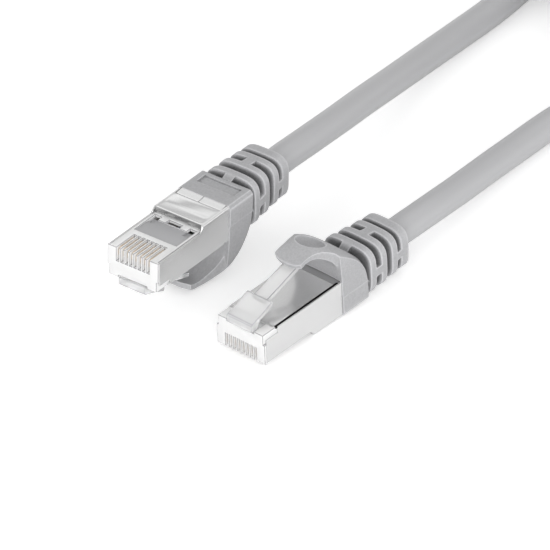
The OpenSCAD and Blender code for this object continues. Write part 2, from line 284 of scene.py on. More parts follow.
def end_turn(far, radius, height, count=28):
    """A half circle at one end of the hank, with its radius and height as functions of 0 to 1."""
    way = 1 if far else -1
    centre = HANK_X + HANK_RUN if far else HANK_X
    points = []
    for k in range(count + 1):
        t = k / count
        along = centre + way * radius(t) * math.sin(math.pi * t)
        points.append((along, way * radius(t) * math.cos(math.pi * t), height(t)))
    return points


def hank():
    """The hank's centreline, from where plug A's cable enters it to where plug B's leaves."""
    inner = lambda t: HANK_INNER
    outer = lambda t: HANK_OUTER
    low = lambda t: HANK_LOW
    high = lambda t: HANK_LOW + LAYER
    rising = lambda t: HANK_LOW + LAYER * climb(t)
    inward = lambda t: HANK_INNER + (HANK_OUTER - HANK_INNER) * math.sqrt(1 - climb(t) ** 2)
    outward = lambda t: HANK_INNER + (HANK_OUTER - HANK_INNER) * math.sqrt(1 - (1 - climb(t)) ** 2)
    turns = [(True, outer, low), (False, inward, low), (True, inner, low), (False, inner, rising),
             (True, inner, high), (False, outward, high), (True, outer, high)]
    line = [(HANK_X, HANK_OUTER, HANK_LOW)]
    for far, radius, height in turns:
        line += end_turn(far, radius, height)
    return line + [(HANK_X, -HANK_OUTER, HANK_LOW + LAYER)]


coil = hank()
print("hank:", len(coil), "points")

# %% [markdown]
# The way in, the hank and the way out become one line. Each way starts STRAIGHT out of its
# boot, and runs on along the hank's straight side by OVERLAP, so that the rounding leaves no kink
# where they meet. The sum of the steps along the line is the cable's length, which has to be
# about a metre.

# %% Cable line
STRAIGHT = 3
OVERLAP = 8
into_hank = (HANK_X + OVERLAP, HANK_OUTER, HANK_LOW)
out_of_hank = (HANK_X + OVERLAP, -HANK_OUTER, HANK_LOW + LAYER)
way_in = smooth([boot_exit("a"), boot_exit("a", STRAIGHT)] + ROUTE_A + [coil[0], into_hank])
way_out = smooth([boot_exit("b"), boot_exit("b", STRAIGHT)] + ROUTE_B + [coil[-1], out_of_hank])
cable_line = way_in + coil[1:-1] + way_out[::-1]
cable_length = sum(math.dist(p, q) for p, q in zip(cable_line, cable_line[1:]))
print(f"cable: {len(cable_line)} points, {cable_length:.0f} mm")

# %% [markdown]
# A tube can be a mesh swept along the line, or a curve with a bevel. The curve is shorter to
# write and can be measured as a cord. Its bevel is 1 and every point carries the cable's radius,
# because a curve's box is worked out from its points' radii.

# %% Cable
cable_curve = bpy.data.curves.new("cable", "CURVE")
cable_curve.dimensions = "3D"
cable_curve.bevel_depth = 1
cable_curve.bevel_resolution = 8
spline = cable_curve.splines.new("POLY")
spline.points.add(len(cable_line) - 1)
for point, place in zip(spline.points, cable_line):
    point.co = (*(Vector(place) * MM), 1)
    point.radius = CABLE_R * MM
spline.use_smooth = True
cable = bpy.data.objects.new("cable", cable_curve)
bpy.context.collection.objects.link(cable)
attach(cable, "root")
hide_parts("cable_run_a", "cable_run_b", "cable_hank")
cable_curve.materials.append(jacket_plastic)
print("cable:", len(spline.points), "points,", CABLE_D, "mm thick")

# %% [markdown]
# ## Making pieces
#
# Every mesh piece takes the same way: it is drawn with bmesh in its plug's millimetres, laid in
# place, given its looks, and set to ride on a body of the frame unless it is given none. Its
# object could be moved into place instead, but a mesh that holds its own place keeps the grain
# still. `soften` breaks the edges as a mould or a punch leaves them, `grid_faces` joins rows of
# points, and `thicken` gives a sheet its thickness.

# %% Making pieces
# The bevel on the cut edge of a punched sheet
CUT_EDGE = 0.05


def add_piece(name, bm, plug, *looks, body="root", smooth_angle=40):
    """Writes a bmesh drawn in a plug's millimetres to an object that rides on a body, if it is given one.
    """
    bmesh.ops.recalc_face_normals(bm, faces=bm.faces)
    bm.transform(PLACE[plug])
    mesh = bpy.data.meshes.new(name)
    bm.to_mesh(mesh)
    bm.free()
    mesh.polygons.foreach_set("use_smooth", [True] * len(mesh.polygons))
    mesh.set_sharp_from_angle(angle=math.radians(smooth_angle))
    for look in looks:
        mesh.materials.append(look)
    piece = bpy.data.objects.new(name, mesh)
    bpy.context.collection.objects.link(piece)
    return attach(piece, body) if body else piece


def soften(bm, width, segments=2, angle=35, material=0):
    """Bevels every edge that turns by more than angle, and gives the bevel its material's number."""
    sharp = [e for e in bm.edges if e.is_manifold and e.calc_face_angle(0) > math.radians(angle)]
    made = bmesh.ops.bevel(bm, geom=sharp, offset=width, segments=segments, profile=0.5, affect="EDGES",
                           clamp_overlap=True, material=-1)
    for face in made["faces"]:
        face.material_index = material


def grid_faces(bm, rows, closed=False):
    """Quads between rows of vertices."""
    faces = []
    for row, after in zip(rows, rows[1:]):
        count = len(row)
        for j in range(count if closed else count - 1):
            k = (j + 1) % count
            faces.append(bm.faces.new((row[j], row[k], after[k], after[j])))
    return faces


def thicken(bm, thickness):
    """Gives a sheet its thickness on the side away from its normals, and softens its cut edges."""
    bm.normal_update()
    bmesh.ops.solidify(bm, geom=bm.faces[:], thickness=thickness)
    soften(bm, CUT_EDGE, segments=1, angle=60)


flat_sheet = bmesh.new()
bmesh.ops.create_grid(flat_sheet, x_segments=1, y_segments=1, size=1)
thicken(flat_sheet, 0.2)
print("one square, thickened and softened, has", len(flat_sheet.faces), "faces")
flat_sheet.free()

# %% [markdown]
# ## The ties
#
# A hook-and-loop strap holds each side of the hank. It goes once round the four runs of cable
# and sticks to itself on top. Cloth simulation could wrap it, but a tight strap has only one way
# to go: quarter circles round the cables, and straight stretches between them that dip a little.

# %% Way round the bundle
TIE_THICK = 0.9
# The gap to the cables, and how far the straight stretches dip
TIE_GAP = 0.05
TIE_DIP = 0.25
# The middle of four runs of cable, and how far each run lies from it across and up
BUNDLE = (HANK_X + HANK_RUN / 2, (HANK_INNER + HANK_OUTER) / 2, HANK_LOW + LAYER / 2)
APART = ((HANK_OUTER - HANK_INNER) / 2, LAYER / 2)


def round_bundle(steps=8):
    """Points on the strap's outside and the way out from each, once round from the top's outer end."""
    radius = CABLE_R + TIE_THICK + TIE_GAP
    corners = [(-1, 1), (-1, -1), (1, -1), (1, 1)]
    line = []
    last = Vector((APART[0], APART[1] + radius))
    for quarter, (across, up) in enumerate(corners, 1):
        middle = Vector((across * APART[0], up * APART[1]))
        out = Vector((math.cos(math.radians(90 * quarter)), math.sin(math.radians(90 * quarter))))
        first = middle + radius * out
        for k in range(steps):
            line.append((last.lerp(first, k / steps) - TIE_DIP * math.sin(math.pi * k / steps) * out, out))
        for k in range(steps + 1):
            turn = math.radians(90 * (quarter + k / steps))
            out = Vector((math.cos(turn), math.sin(turn)))
            line.append((middle + radius * out, out))
        last = line.pop()[0]
    return line


lap = round_bundle()
print("once round the bundle:", len(lap), "points")

# %% [markdown]
# The strap is a strip of faces laid along that way, with a little noise for the pile, and then
# thickened. After one turn it climbs onto its own start and ends in a rounded tail. Felt is
# dark, very rough and deeply grained, with a faint sheen.

# %% Hank ties
TIE_HALF = 4.5
TIE_COLUMNS = 18
TIE_TAIL = 3
# How many points the tail runs over the start, how many it takes to climb there, and the gap
TIE_LAP = 14
TIE_CLIMB = 5
TIE_LIFT = 0.1
# How high the pile's noise is, and how fine
TIE_PILE = 0.06
PILE_PER_MM = 2.1


def tie(side):
    """The strap as a bare strip of faces on its outer side, on one side of the hank."""
    bm = bmesh.new()
    rise = TIE_THICK + TIE_LIFT
    way = []
    for k, (point, out) in enumerate(lap + lap[:TIE_LAP]):
        over = min(1, max(0, (k - len(lap) + TIE_CLIMB) / TIE_CLIMB))
        way.append((point + rise * over * over * (3 - 2 * over) * out, out))
    length = sum((b[0] - a[0]).length for a, b in zip(way, way[1:]))
    rows = []
    gone = 0
    for k, (point, out) in enumerate(way):
        gone += (point - way[k - 1][0]).length if k else 0
        left = min(1, (length - gone) / TIE_TAIL)
        half = TIE_HALF - TIE_TAIL + TIE_TAIL * math.sqrt(max(0, 1 - (1 - left) ** 2))
        row = []
        for j in range(TIE_COLUMNS + 1):
            x = half * (2 * j / TIE_COLUMNS - 1)
            pile = TIE_PILE * noise.noise(Vector((x, *point)) * PILE_PER_MM)
            across, up = point + pile * out
            row.append(bm.verts.new((BUNDLE[0] + x, side * (BUNDLE[1] + across), BUNDLE[2] + up)))
        rows.append(row)
    grid_faces(bm, rows if side < 0 else rows[::-1])
    print("strap", round(length, 1), "mm long")
    return bm


felt = finish("felt", (0.035, 0.035, 0.037), specular=0.2, Mottle=1.2, Roughness=0.9, Spread=0.1,
              Grains=8000, Depth=0.00012)
felt.node_tree.nodes["Principled BSDF"].inputs["Sheen Weight"].default_value = 0.2
for name, side in (("left", 1), ("right", -1)):
    strap = tie(side)
    thicken(strap, TIE_THICK)
    add_piece(f"strap_{name}", strap, "frame", felt, smooth_angle=60)
    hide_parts(f"hank_tie_{name}")

# %% [markdown]
# ## The boot
#
# The boot is one moulding of soft grey plastic: a collar, a hood over the latch with a finger
# pad, and a ringed strain relief. Its flowing top could be sculpted, but a cage of a few rows
# is easier to steer. Catmull-Clark subdivision rounds the cage, and creases keep an edge tight.
# `creased` finds the edges that turn sharply, and leaves out those between two soft faces.

# %% Rounded cages
def creased(bm, levels, crease=0.55, angle=22, soft=()):
    """The cage rounded by subdivision, with sharp edges kept tight unless they are soft."""
    tight = bm.edges.layers.float.new("crease_edge")
    soft = set(soft)
    for edge in bm.edges:
        inside = all(face in soft for face in edge.link_faces)
        if edge.is_manifold and not inside and edge.calc_face_angle(0) > math.radians(angle):
            edge[tight] = crease
    return subdivided(bm, levels)


def subdivided(bm, levels):
    """A new bmesh with Catmull-Clark subdivision applied."""
    bmesh.ops.delete(bm, geom=[v for v in bm.verts if not v.link_faces], context="VERTS")
    mesh = bpy.data.meshes.new("cage")
    bm.to_mesh(mesh)
    bm.free()
    cage = bpy.data.objects.new("cage", mesh)
    bpy.context.collection.objects.link(cage)
    smoothing = cage.modifiers.new("smooth", "SUBSURF")
    smoothing.levels = smoothing.render_levels = levels
    result = bmesh.new()
    result.from_mesh(cage.evaluated_get(bpy.context.evaluated_depsgraph_get()).to_mesh())
    bpy.data.objects.remove(cage)
    return result


cube = bmesh.new()
bmesh.ops.create_cube(cube, size=1)
cube = creased(cube, 2)
print("a cube rounded twice has", len(cube.faces), "faces")
cube.free()

# %% [markdown]
# The cage's top runs from the tip of the finger pad back over the dome and down the collar's
# rear, as bent rows across the boot. Each row has its middle, its half width and how far its
# ends move along and down. A second set of rows is the underside, which curves down into the
# wall behind the latch.

# %% Rows of the boot
# Half the width above and below the parting line, and the heights of the floor and the line
BOOT_HALF = 6.15
LOWER_HALF = 6.23
BOOT_FLOOR = -1.45
PARTING = 3.15
# Where the points of a row lie, as shares of its half width
ACROSS = (-1, -0.9, -0.7, -0.48, -0.24, 0, 0.24, 0.48, 0.7, 0.9, 1)
# x and z of the row's middle, half width, shift of its ends along x and z, and how square it is
HOOD_ROWS = [
    (13.0, 13.75, 3.25, 0.85, 0.3, 3),
    (14.3, 14.25, 3.3, 0.6, 0.15, 3),
    (15.6, 14.7, 3.3, 0.4, -0.2, 3),
    (17.0, 15.1, 3.42, 0.1, -0.55, 3),
    (18.2, 15.3, 3.65, 0.0, -0.8, 3),
    (19.3, 15.2, 3.97, 0.0, -0.95, 3),
    (20.2, 14.9, 4.35, 0.0, -1.0, 3),
    (21.0, 14.55, 4.8, 0.05, -1.05, 3),
    (21.7, 14.15, 5.3, 0.15, -1.2, 3),
    (22.3, 13.75, 5.7, -0.2, -1.35, 3),
]
COLLAR_ROWS = [
    (23.4, 13.0, 5.9, -0.6, -0.95, 3),
    (24.6, 12.0, 6.05, -0.6, -0.7, 3),
    (26.0, 10.7, BOOT_HALF, -0.6, -0.4, 3),
    (27.3, 9.4, BOOT_HALF, -0.5, -0.4, 3),
    (28.3, 8.4, BOOT_HALF, -0.5, -0.7, 4),
    (29.0, 7.75, BOOT_HALF, -0.4, -1.3, 4),
    (29.35, 7.4, BOOT_HALF, -0.25, -2.4, 5),
    (29.5, 7.15, BOOT_HALF, -0.1, -4.0, 6),
]
# x and z of the underside's middle, then x, y and z of its ends
UNDER_ROWS = [
    (13.2, 12.75, 14.1, 3.2, 13.0),
    (14.7, 13.1, 15.3, 3.2, 13.42),
    (16.2, 13.45, 16.4, 3.25, 13.53),
    (17.3, 13.5, 17.3, 3.37, 13.42),
    (18.4, 13.3, 18.2, 3.55, 13.12),
    (19.5, 12.85, 19.2, 3.85, 12.65),
    (20.5, 12.3, 20.3, 4.25, 11.95),
    (21.3, 11.6, 21.2, 4.6, 11.1),
    (21.8, 10.9, 21.7, 4.85, 10.4),
    (22.2, 10.0, 22.05, 5.1, 9.65),
    (22.35, 9.0, 22.2, 5.35, 8.9),
    (22.4, 8.0, 22.2, 5.45, 8.2),
    (22.5, 6.45, 22.25, 5.5, 6.45),
]
# Where the columns of the side end on the floor, along x
SIDE_BOTTOM_X = [22.35, 23.4, 24.6, 25.8, 27.1, 28.0, 28.5, 29.1, 29.5]
# The lower edge of each side, and where the floor begins below its chamfer
CHAMFER_Z = -0.8
FLOOR_EDGE = 5.65
# Between which columns the recess lies, and half the width of the mouth that takes the shield
RECESS = {"columns": (3, 6), "half": 4.4, "depth": 0.37}
MOUTH_HALF = 5.92


def bent_row(x, z, half, dx, dz, square):
    """Points across the boot, whose ends move by dx and dz."""
    return [(x + dx * abs(c) ** 4, half * c, z + dz * abs(c) ** square) for c in ACROSS]


print(len(HOOD_ROWS) + len(COLLAR_ROWS), "rows on top,", len(UNDER_ROWS), "below")

# %% [markdown]
# The sides hang from the ends of the top's rows. At half height they step out by a hair, where
# the two halves of the mould meet. The floor on the contact face has a shallow recess, and the
# mouth is lined a little way in, so that nobody sees through the collar.

# %% Boot cage
# Where the side's points lie on the way down to the parting line
SIDE_SHARES = (0.156, 0.387, 0.638, 1)
SPLIT = 0.05
# How far the mouth's lower edge leans in and up, and where its lining ends
MOUTH_IN = 0.1
MOUTH_UP = 0.08
MOUTH_END = 25.0
REAR_RIM = 0.8


def boot_cage():
    """The collar and hood as one closed cage."""
    bm = bmesh.new()
    new = bm.verts.new
    hood = [[new(p) for p in bent_row(*row)] for row in HOOD_ROWS]
    collar = [[new(p) for p in bent_row(*row)] for row in COLLAR_ROWS]
    under = [[new((x + (ex - x) * c * c, ey * c, z + (ez - z) * c * c)) for c in ACROSS]
             for x, z, ex, ey, ez in UNDER_ROWS]
    soft = grid_faces(bm, hood + collar) + grid_faces(bm, under)
    grid_faces(bm, [hood[0], under[0]])
    top = [hood[-1]] + collar
    rear_loop = list(collar[-1])
    mouth_sides = {}
    bottoms = {}
    for side in (-1, 1):
        end = 0 if side < 0 else -1
        # From each place on the top's edge down to the parting line, then a hair wider to the floor
        columns = []
        for x_low, row in zip(SIDE_BOTTOM_X, top):
            edge = row[end]
            x0, z0 = edge.co.x, edge.co.z
            slope = (x_low - x0) / (BOOT_FLOOR - z0)
            column = [edge]
            for share in SIDE_SHARES:
                z = z0 + (PARTING + SPLIT - z0) * share
                half = BOOT_HALF + (abs(edge.co.y) - BOOT_HALF) * (1 - share) ** 2
                column.append(new((x0 + slope * (z - z0), side * half, z)))
            below = PARTING - SPLIT
            column.append(new((x0 + slope * (below - z0), side * LOWER_HALF, below)))
            column.append(new((x_low, side * LOWER_HALF, CHAMFER_Z)))
            column.append(new((x_low, side * FLOOR_EDGE, BOOT_FLOOR)))
            columns.append(column)
        grid_faces(bm, columns)
        front = [row[end] for row in hood] + columns[0][1:4]
        grid_faces(bm, [front, [row[end] for row in under]])
        bottoms[side] = [column[-1] for column in columns]
        rear = columns[-1][1:]
        rear_loop = rear_loop + rear if side > 0 else rear[::-1] + rear_loop
        # The thin edge of the mouth beside the shield
        inner = [new((v.co.x, side * MOUTH_HALF, v.co.z)) for v in columns[0][4:7]]
        inner.append(new((SIDE_BOTTOM_X[0], side * (FLOOR_EDGE - MOUTH_IN), BOOT_FLOOR + MOUTH_UP)))
        mouth_sides[side] = inner
        outer_chain = columns[0][3:]
        inner_chain = [under[-1][end]] + inner
        grid_faces(bm, [outer_chain, inner_chain])
    # The floor with its recess
    lines = (-RECESS["half"], RECESS["half"])
    floor = [[left, *(new((left.co.x, y, BOOT_FLOOR)) for y in lines), right]
             for left, right in zip(bottoms[-1], bottoms[1])]
    first, last = RECESS["columns"]
    for i, (row, after) in enumerate(zip(floor, floor[1:])):
        for j in range(3):
            if j == 1 and first <= i < last:
                continue
            bm.faces.new((row[j], row[j + 1], after[j + 1], after[j]))
    ring = [row[1] for row in floor[first:last + 1]] + [row[2] for row in floor[last:first - 1:-1]]
    sunk = [new((v.co.x, v.co.y, BOOT_FLOOR + RECESS["depth"])) for v in ring]
    for j in range(len(ring)):
        k = (j + 1) % len(ring)
        bm.faces.new((ring[j], ring[k], sunk[k], sunk[j]))
    bm.faces.new(sunk)
    # The mouth's lower edge, its lining and its end
    between = [new((SIDE_BOTTOM_X[0], y, BOOT_FLOOR + MOUTH_UP)) for y in lines]
    low_inner = [mouth_sides[-1][-1], *between, mouth_sides[1][-1]]
    grid_faces(bm, [floor[0], low_inner])
    mouth = under[-1] + mouth_sides[1] + low_inner[2:0:-1] + mouth_sides[-1][::-1]
    deep = [new((MOUTH_END, v.co.y, v.co.z)) for v in mouth]
    grid_faces(bm, [mouth, deep], closed=True)
    bm.faces.new(deep)
    rear = bm.faces.new(rear_loop + floor[-1][2:0:-1])
    bmesh.ops.recalc_face_normals(bm, faces=bm.faces)
    bmesh.ops.inset_individual(bm, faces=[rear], thickness=REAR_RIM)
    return creased(bm, 3, soft=soft)


moulding = boot_cage()
print("boot:", len(moulding.faces), "faces")
moulding.free()

# %% [markdown]
# The finger dish is a shallow bowl pressed into the dome. A boolean could cut it, but that would
# leave a sharp rim. Each point of the top is lowered onto the bowl instead, and where the two
# surfaces cross they are blended over a few hundredths of a millimetre.

# %% Finger dish
# The bowl's middle along x, half its length and width, its rim's height and slope, its depth,
# and how far the two surfaces are blended
DISH_MIDDLE = 20.3
DISH_HALF = (2.75, 3.0)
DISH_RIM = 14.35
DISH_TILT = -0.42
DISH_DEPTH = 1.6
DISH_BLUNT = 0.05
# Only points near the bowl that face up and lie on the hood's top are moved
DISH_REACH = 1.6
DISH_FACING = 0.2
DISH_ABOVE = 12


def cut_dish(bm):
    """Lowers the top of the hood onto the bowl."""
    bm.normal_update()
    for v in bm.verts:
        out = math.hypot((v.co.x - DISH_MIDDLE) / DISH_HALF[0], v.co.y / DISH_HALF[1])
        if out < DISH_REACH and v.normal.z > DISH_FACING and v.co.z > DISH_ABOVE:
            bowl = DISH_RIM + DISH_TILT * (v.co.x - DISH_MIDDLE) + DISH_DEPTH * (out ** 3 - 1)
            gap = bowl - v.co.z
            v.co.z = (bowl + v.co.z - math.hypot(gap, DISH_BLUNT) + DISH_BLUNT * max(0, 1 - abs(gap))) / 2


print("dish:", 2 * DISH_HALF[0], "by", 2 * DISH_HALF[1], "mm")

# %% [markdown]
# The strain relief is a row of rings on a thinner core, so that it bends with the cable. Bridges
# join each ring to the next, by turns above and below, and at the sides. A lathe would make
# round rings, but these are rounded rectangles. So the columns run round the boot at fixed
# angles, and SQUARENESS says how far the sections bulge into their corners.

# %% Strain relief
# Each ring's start and end, half width, top and bottom
RINGS = [
    (30.7, 32.4, 5.9, 8.2, -2.1),
    (34.1, 35.7, 5.7, 7.9, -2.2),
    (37.4, 39.1, 5.4, 7.6, -2.1),
    (40.3, 42.5, 5.2, 7.4, -2.0),
]
CORE_R = 3.3
# Where the lining round the cable ends
SLEEVE_DEEP = 40
SQUARENESS = 4.6
# Half a bridge's width in degrees, and the columns across a bridge and between two
BRIDGE_HALF = 11
BRIDGE_STEPS = 3
OPEN_STEPS = 5
# Where the first bridges start inside the collar, as a ring
COLLAR_INSIDE = (29.0, 5.6, 6.9, -1.25)


def ring_columns():
    """Angles round the boot and whether the sector after each is bridged above, or at the sides."""
    angles = []
    for quarter in range(4):
        middle = 90 * quarter
        for k in range(BRIDGE_STEPS):
            angles.append((middle - BRIDGE_HALF + 2 * BRIDGE_HALF * k / BRIDGE_STEPS, quarter % 2))
        for k in range(OPEN_STEPS):
            angles.append((middle + BRIDGE_HALF + (90 - 2 * BRIDGE_HALF) * k / OPEN_STEPS, None))
    return angles


def sleeve():
    """The rings, the core between them and the bridges, as one closed cage."""
    bm = bmesh.new()
    columns = ring_columns()

    def section(x, half, top, bottom):
        middle = (top + bottom) / 2
        tall = (top - bottom) / 2
        loop = []
        for angle, _ in columns:
            c, s = math.cos(math.radians(angle)), math.sin(math.radians(angle))
            reach = (abs(c) ** SQUARENESS + abs(s) ** SQUARENESS) ** (-1 / SQUARENESS)
            loop.append(bm.verts.new((x, half * c * reach, middle + tall * s * reach)))
        return loop

    def core(x, radius=CORE_R):
        turns = [math.radians(angle) for angle, _ in columns]
        return [bm.verts.new((x, radius * math.cos(a), CABLE_Z + radius * math.sin(a))) for a in turns]

    count = len(columns)
    last_outer = section(*COLLAR_INSIDE)
    last_core = core(COLLAR_INSIDE[0])
    bm.faces.new(last_outer)
    for number, (start, end, half, top, bottom) in enumerate(RINGS):
        outer = section(start, half, top, bottom)
        low = core(start)
        bridged = (number + 1) % 2
        for j, (_, kind) in enumerate(columns):
            k = (j + 1) % count
            if kind == bridged:
                bm.faces.new((last_outer[j], last_outer[k], outer[k], outer[j]))
                for side, beyond in ((j, j - 1), (k, k)):
                    if columns[beyond][1] != bridged:
                        bm.faces.new((last_outer[side], last_core[side], low[side], outer[side]))
            else:
                for a, b in ((last_outer, last_core), (last_core, low), (low, outer)):
                    bm.faces.new((a[j], a[k], b[k], b[j]))
        middle_x = (start + end) / 2
        waist = section(middle_x, half, top, bottom)
        outer_end = section(end, half, top, bottom)
        grid_faces(bm, [outer, waist, outer_end], closed=True)
        last_outer = outer_end
        last_core = core(end, CORE_R if number < len(RINGS) - 1 else CABLE_R)
    grid_faces(bm, [last_outer, last_core], closed=True)
    deep = core(SLEEVE_DEEP, CABLE_R)
    grid_faces(bm, [last_core, deep], closed=True)
    bm.faces.new(deep)
    bmesh.ops.recalc_face_normals(bm, faces=bm.faces)
    return creased(bm, 2, crease=0.5, angle=40)


print(len(RINGS), "rings,", len(ring_columns()), "columns round each")

# %% [markdown]
# The boot's finish is matt, with a leathery grain. Its colour also carries painted light: a
# painted highlight on its outer edges, and painted shade between the rings, where little light
# reaches, and on the inner edges of the recess. Baking could measure both, but the angle at each
# edge and the depth below the rings' outline tell enough. The attribute edge carries them to the
# grain group: 1 on an outer edge, 0 on a plain face, and below 0 in the grooves and the recess.

# %% Painted highlights on edges and painted shade in grooves
# The last value sets how strongly the painted highlights and painted shade change the boot's colour
boot_plastic = finish("boot_plastic", (0.41, 0.41, 0.42), specular=0.4, Mottle=0.45, Roughness=0.5,
                      Spread=0.2, Grains=2800, Depth=0.00003, Edge=0.35)
# How dark the painted shade in the grooves is, and where it starts along x. A reach of 1 is the
# rings' outline: the painted shade begins at GROOVE_TOP, and is full GROOVE_FALL below it
DEEP_SHADE = 1.6
GROOVE_START = 29.3
GROOVE_TOP = 0.98
GROOVE_FALL = 0.14
# The recess on the contact face lies below this height, and its inner edges get painted shade
PANEL_Z = -0.5
INNER_SHADE = 1.3


def groove_depth(point):
    """How deep a point of the plug's frame lies between the rings, from 0 outside to 1 at the core."""
    along = (point.x - RINGS[0][0]) / (RINGS[-1][1] - RINGS[0][0])
    if point.x < GROOVE_START or along > 1:
        return 0
    half, top, bottom = (a + (b - a) * along for a, b in zip(RINGS[0][2:], RINGS[-1][2:]))
    side = abs(point.y) / half
    tall = abs(2 * point.z - top - bottom) / (top - bottom)
    reach = (side ** SQUARENESS + tall ** SQUARENESS) ** (1 / SQUARENESS)
    return min(1, max(0, GROOVE_TOP - reach) / GROOVE_FALL)


def paint_light_and_shade(mesh, plug, full=0.35):
    """Writes painted light as the attribute edge: 1 for a painted highlight on an outer edge, 0 on a plain
    face, below 0 for painted shade in the grooves and the recess.
    """
    bm = bmesh.new()
    bm.from_mesh(mesh)
    to_plug = PLACE[plug].inverted()
    strength = []
    for vert in bm.verts:
        turns = [edge.calc_face_angle_signed(0) for edge in vert.link_edges]
        outer = min(1, max(0, *turns) / full)
        inner = min(1, max(0, *(-turn for turn in turns)) / full)
        place = to_plug @ vert.co
        # Inner edges below PANEL_Z get painted shade, and the grooves get painted shade by their depth
        shade = INNER_SHADE * inner if place.z < PANEL_Z else 0
        strength.append(outer - max(shade, DEEP_SHADE * groove_depth(place)))
    bm.free()
    mesh.attributes.new("edge", "FLOAT", "POINT").data.foreach_set("value", strength)


core_point = Vector((33.2, CORE_R, CABLE_Z))
print("groove depth at the core:", round(groove_depth(core_point), 2))

# %% [markdown]
# The press tab is the middle of the hood, and on the real boot it bends down on the latch. It
# could be a piece of its own with a hinge line, but on the real boot it is the same plastic, so
# here it is part of the one moulding, which rides on no body and does not bend.

for plug in "ab":
    moulding = boot_cage()
    cut_dish(moulding)
    rings = bpy.data.meshes.new("rings")
    sleeve_mesh = sleeve()
    sleeve_mesh.to_mesh(rings)
    sleeve_mesh.free()
    moulding.from_mesh(rings)
    boot = add_piece(f"boot_moulding_{plug}", moulding, plug, boot_plastic, body=None)
    paint_light_and_shade(boot.data, plug)
    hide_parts(f"boot_{plug}", f"press_tab_{plug}")
    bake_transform(boot)
    print(boot.name, len(boot.data.polygons), "faces")

# %% [markdown]
# ## The shield
#
# The shield is one sheet of nickel-plated steel folded round the housing. Its section changes
# along the plug, so one bent strip would not do. It is drawn as a grid of sections, the
# openings are left out, and the sheet then gets its thickness. The fold stays open along one
# edge of the latch face, and the plate on the contact face is sunk behind a step.

# %% Shield sections
SHEET = 0.28
SHIELD_HALF = 5.9
SHIELD_TOP = 6.5
# The notch in the front of one side, and the ends of the plates on the latch and contact faces
NOTCH_X = 4.0
NOTCH_Z = 5.2
PLATE_START = 3.3
PLATE_END = 20.75
FACE_END = 20.2
SEAM_Y = 5.1
# Where the step to the sunk plate starts and ends, and how deep it is
STEP = (13.2, 14.4, 1.35)
# The radius of the contact face's edges behind the step and before it, and of the latch face's
ROLL = 0.5
SMALL_ROLL = 0.06
TOP_ROLL = 0.35
# The raised field of the contact plate, and the shallow channel between the step and the field
EMBOSS_X = (16.4, 16.8, 19.6, 19.9)
EMBOSS_Y = (4.55, 4.8)
EMBOSS_HIGH = 0.14
EMBOSS_BULGE = 0.05
CHANNEL = 0.07
# How near a roll a flat part gets its own row, which keeps the roll's shading off the flat
NEAR = 0.12
SHIELD_STATIONS = (
    0.6, 1.8, PLATE_START, NOTCH_X, 6, 8, 10, 12, 13.2, 13.4, 13.6, 13.8, 14.0, 14.2, 14.4, 14.8,
    15.2, 15.6, 16.0, 16.4, 16.8, 17.5, 18.2, 18.9, 19.6, 19.9, FACE_END, PLATE_END, 22.3, 24, 25.5,
)


def arc(y, z, radius, turns, part):
    """Points round a middle, at turns in degrees."""
    angles = [math.radians(turn) for turn in turns]
    return [(y + radius * math.cos(a), z + radius * math.sin(a), part) for a in angles]


def shield_section(x):
    """Points round the shield at x, each with the part after it, from the seam round to the seam."""
    start, end, deep = STEP
    t = min(1, max(0, (x - start) / (end - start)))
    share = t * t * (3 - 2 * t)
    low = -deep * share
    roll = SMALL_ROLL + (ROLL - SMALL_ROLL) * share
    raised = 0
    if end < x < EMBOSS_X[0]:
        raised = -CHANNEL * math.sin(math.pi * (x - end) / (EMBOSS_X[0] - end))
    elif EMBOSS_X[1] <= x <= EMBOSS_X[2]:
        along = (x - EMBOSS_X[1]) / (EMBOSS_X[2] - EMBOSS_X[1])
        raised = EMBOSS_HIGH + EMBOSS_BULGE * math.sin(math.pi * along)
    down = [(SHIELD_TOP, "notch"), (NOTCH_Z, "side"), (2.5, "side"), (low + roll + NEAR, "side")]
    side = [(-SHIELD_HALF, z, part) for z, part in down]
    corner = arc(-SHIELD_HALF + roll, low + roll, -roll, (0, 22.5, 45, 67.5), "corner")
    face = [(-SHIELD_HALF + roll, low, "face"), (-EMBOSS_Y[1], low, "face"),
            (-EMBOSS_Y[0], low - raised, "face")]
    near = side + corner + face
    parts = [part for _, _, part in near]
    far = [(-y, z, part) for (y, z, _), part in zip(near[:0:-1], parts[-2::-1])]
    near[-1] = (*near[-1][:2], "face")
    flat = SHIELD_HALF - TOP_ROLL
    bend = SHIELD_TOP - TOP_ROLL
    top = [(SHIELD_HALF, bend - NEAR, "top"), (SHIELD_HALF, bend, "top")]
    top += arc(flat, bend, TOP_ROLL, (22.5, 45, 67.5, 90), "top")
    top += [(flat - NEAR, SHIELD_TOP, "top"), (-SEAM_Y, SHIELD_TOP, "end")]
    return near + far + top


print(len(SHIELD_STATIONS), "sections of", len(shield_section(0)), "points")

# %% [markdown]
# Nickel plate is smooth and bright, with a soft mirror in it. The front edge of the contact
# plate rolls inward to the housing, and its inner end is painted darker, painted shade for the
# dark that it mirrors there. So the sheet has two finishes, and the faces at the end of the roll
# take the second one, a darker nickel of painted shade.

# %% Shield sheet
NICKEL = {"metallic": 0.75, "Mottle": 0.05, "Roughness": 0.19, "Spread": 0.05, "Grains": 2500,
          "Depth": 0.000001}
nickel = finish("nickel", (0.82, 0.82, 0.82), **NICKEL)
nickel_painted_shade = finish("nickel_painted_shade", (0.4, 0.4, 0.4), **NICKEL)
LIP_R = 0.2
LIP_END = -0.3


def is_open(x, part):
    """Whether the sheet has a hole at x in this part."""
    if part == "notch":
        return x < NOTCH_X
    if part == "top":
        return x < PLATE_START or x > PLATE_END
    if part == "corner":
        return x < STEP[0]
    if part == "face":
        return x < STEP[1] or x > FACE_END
    return False


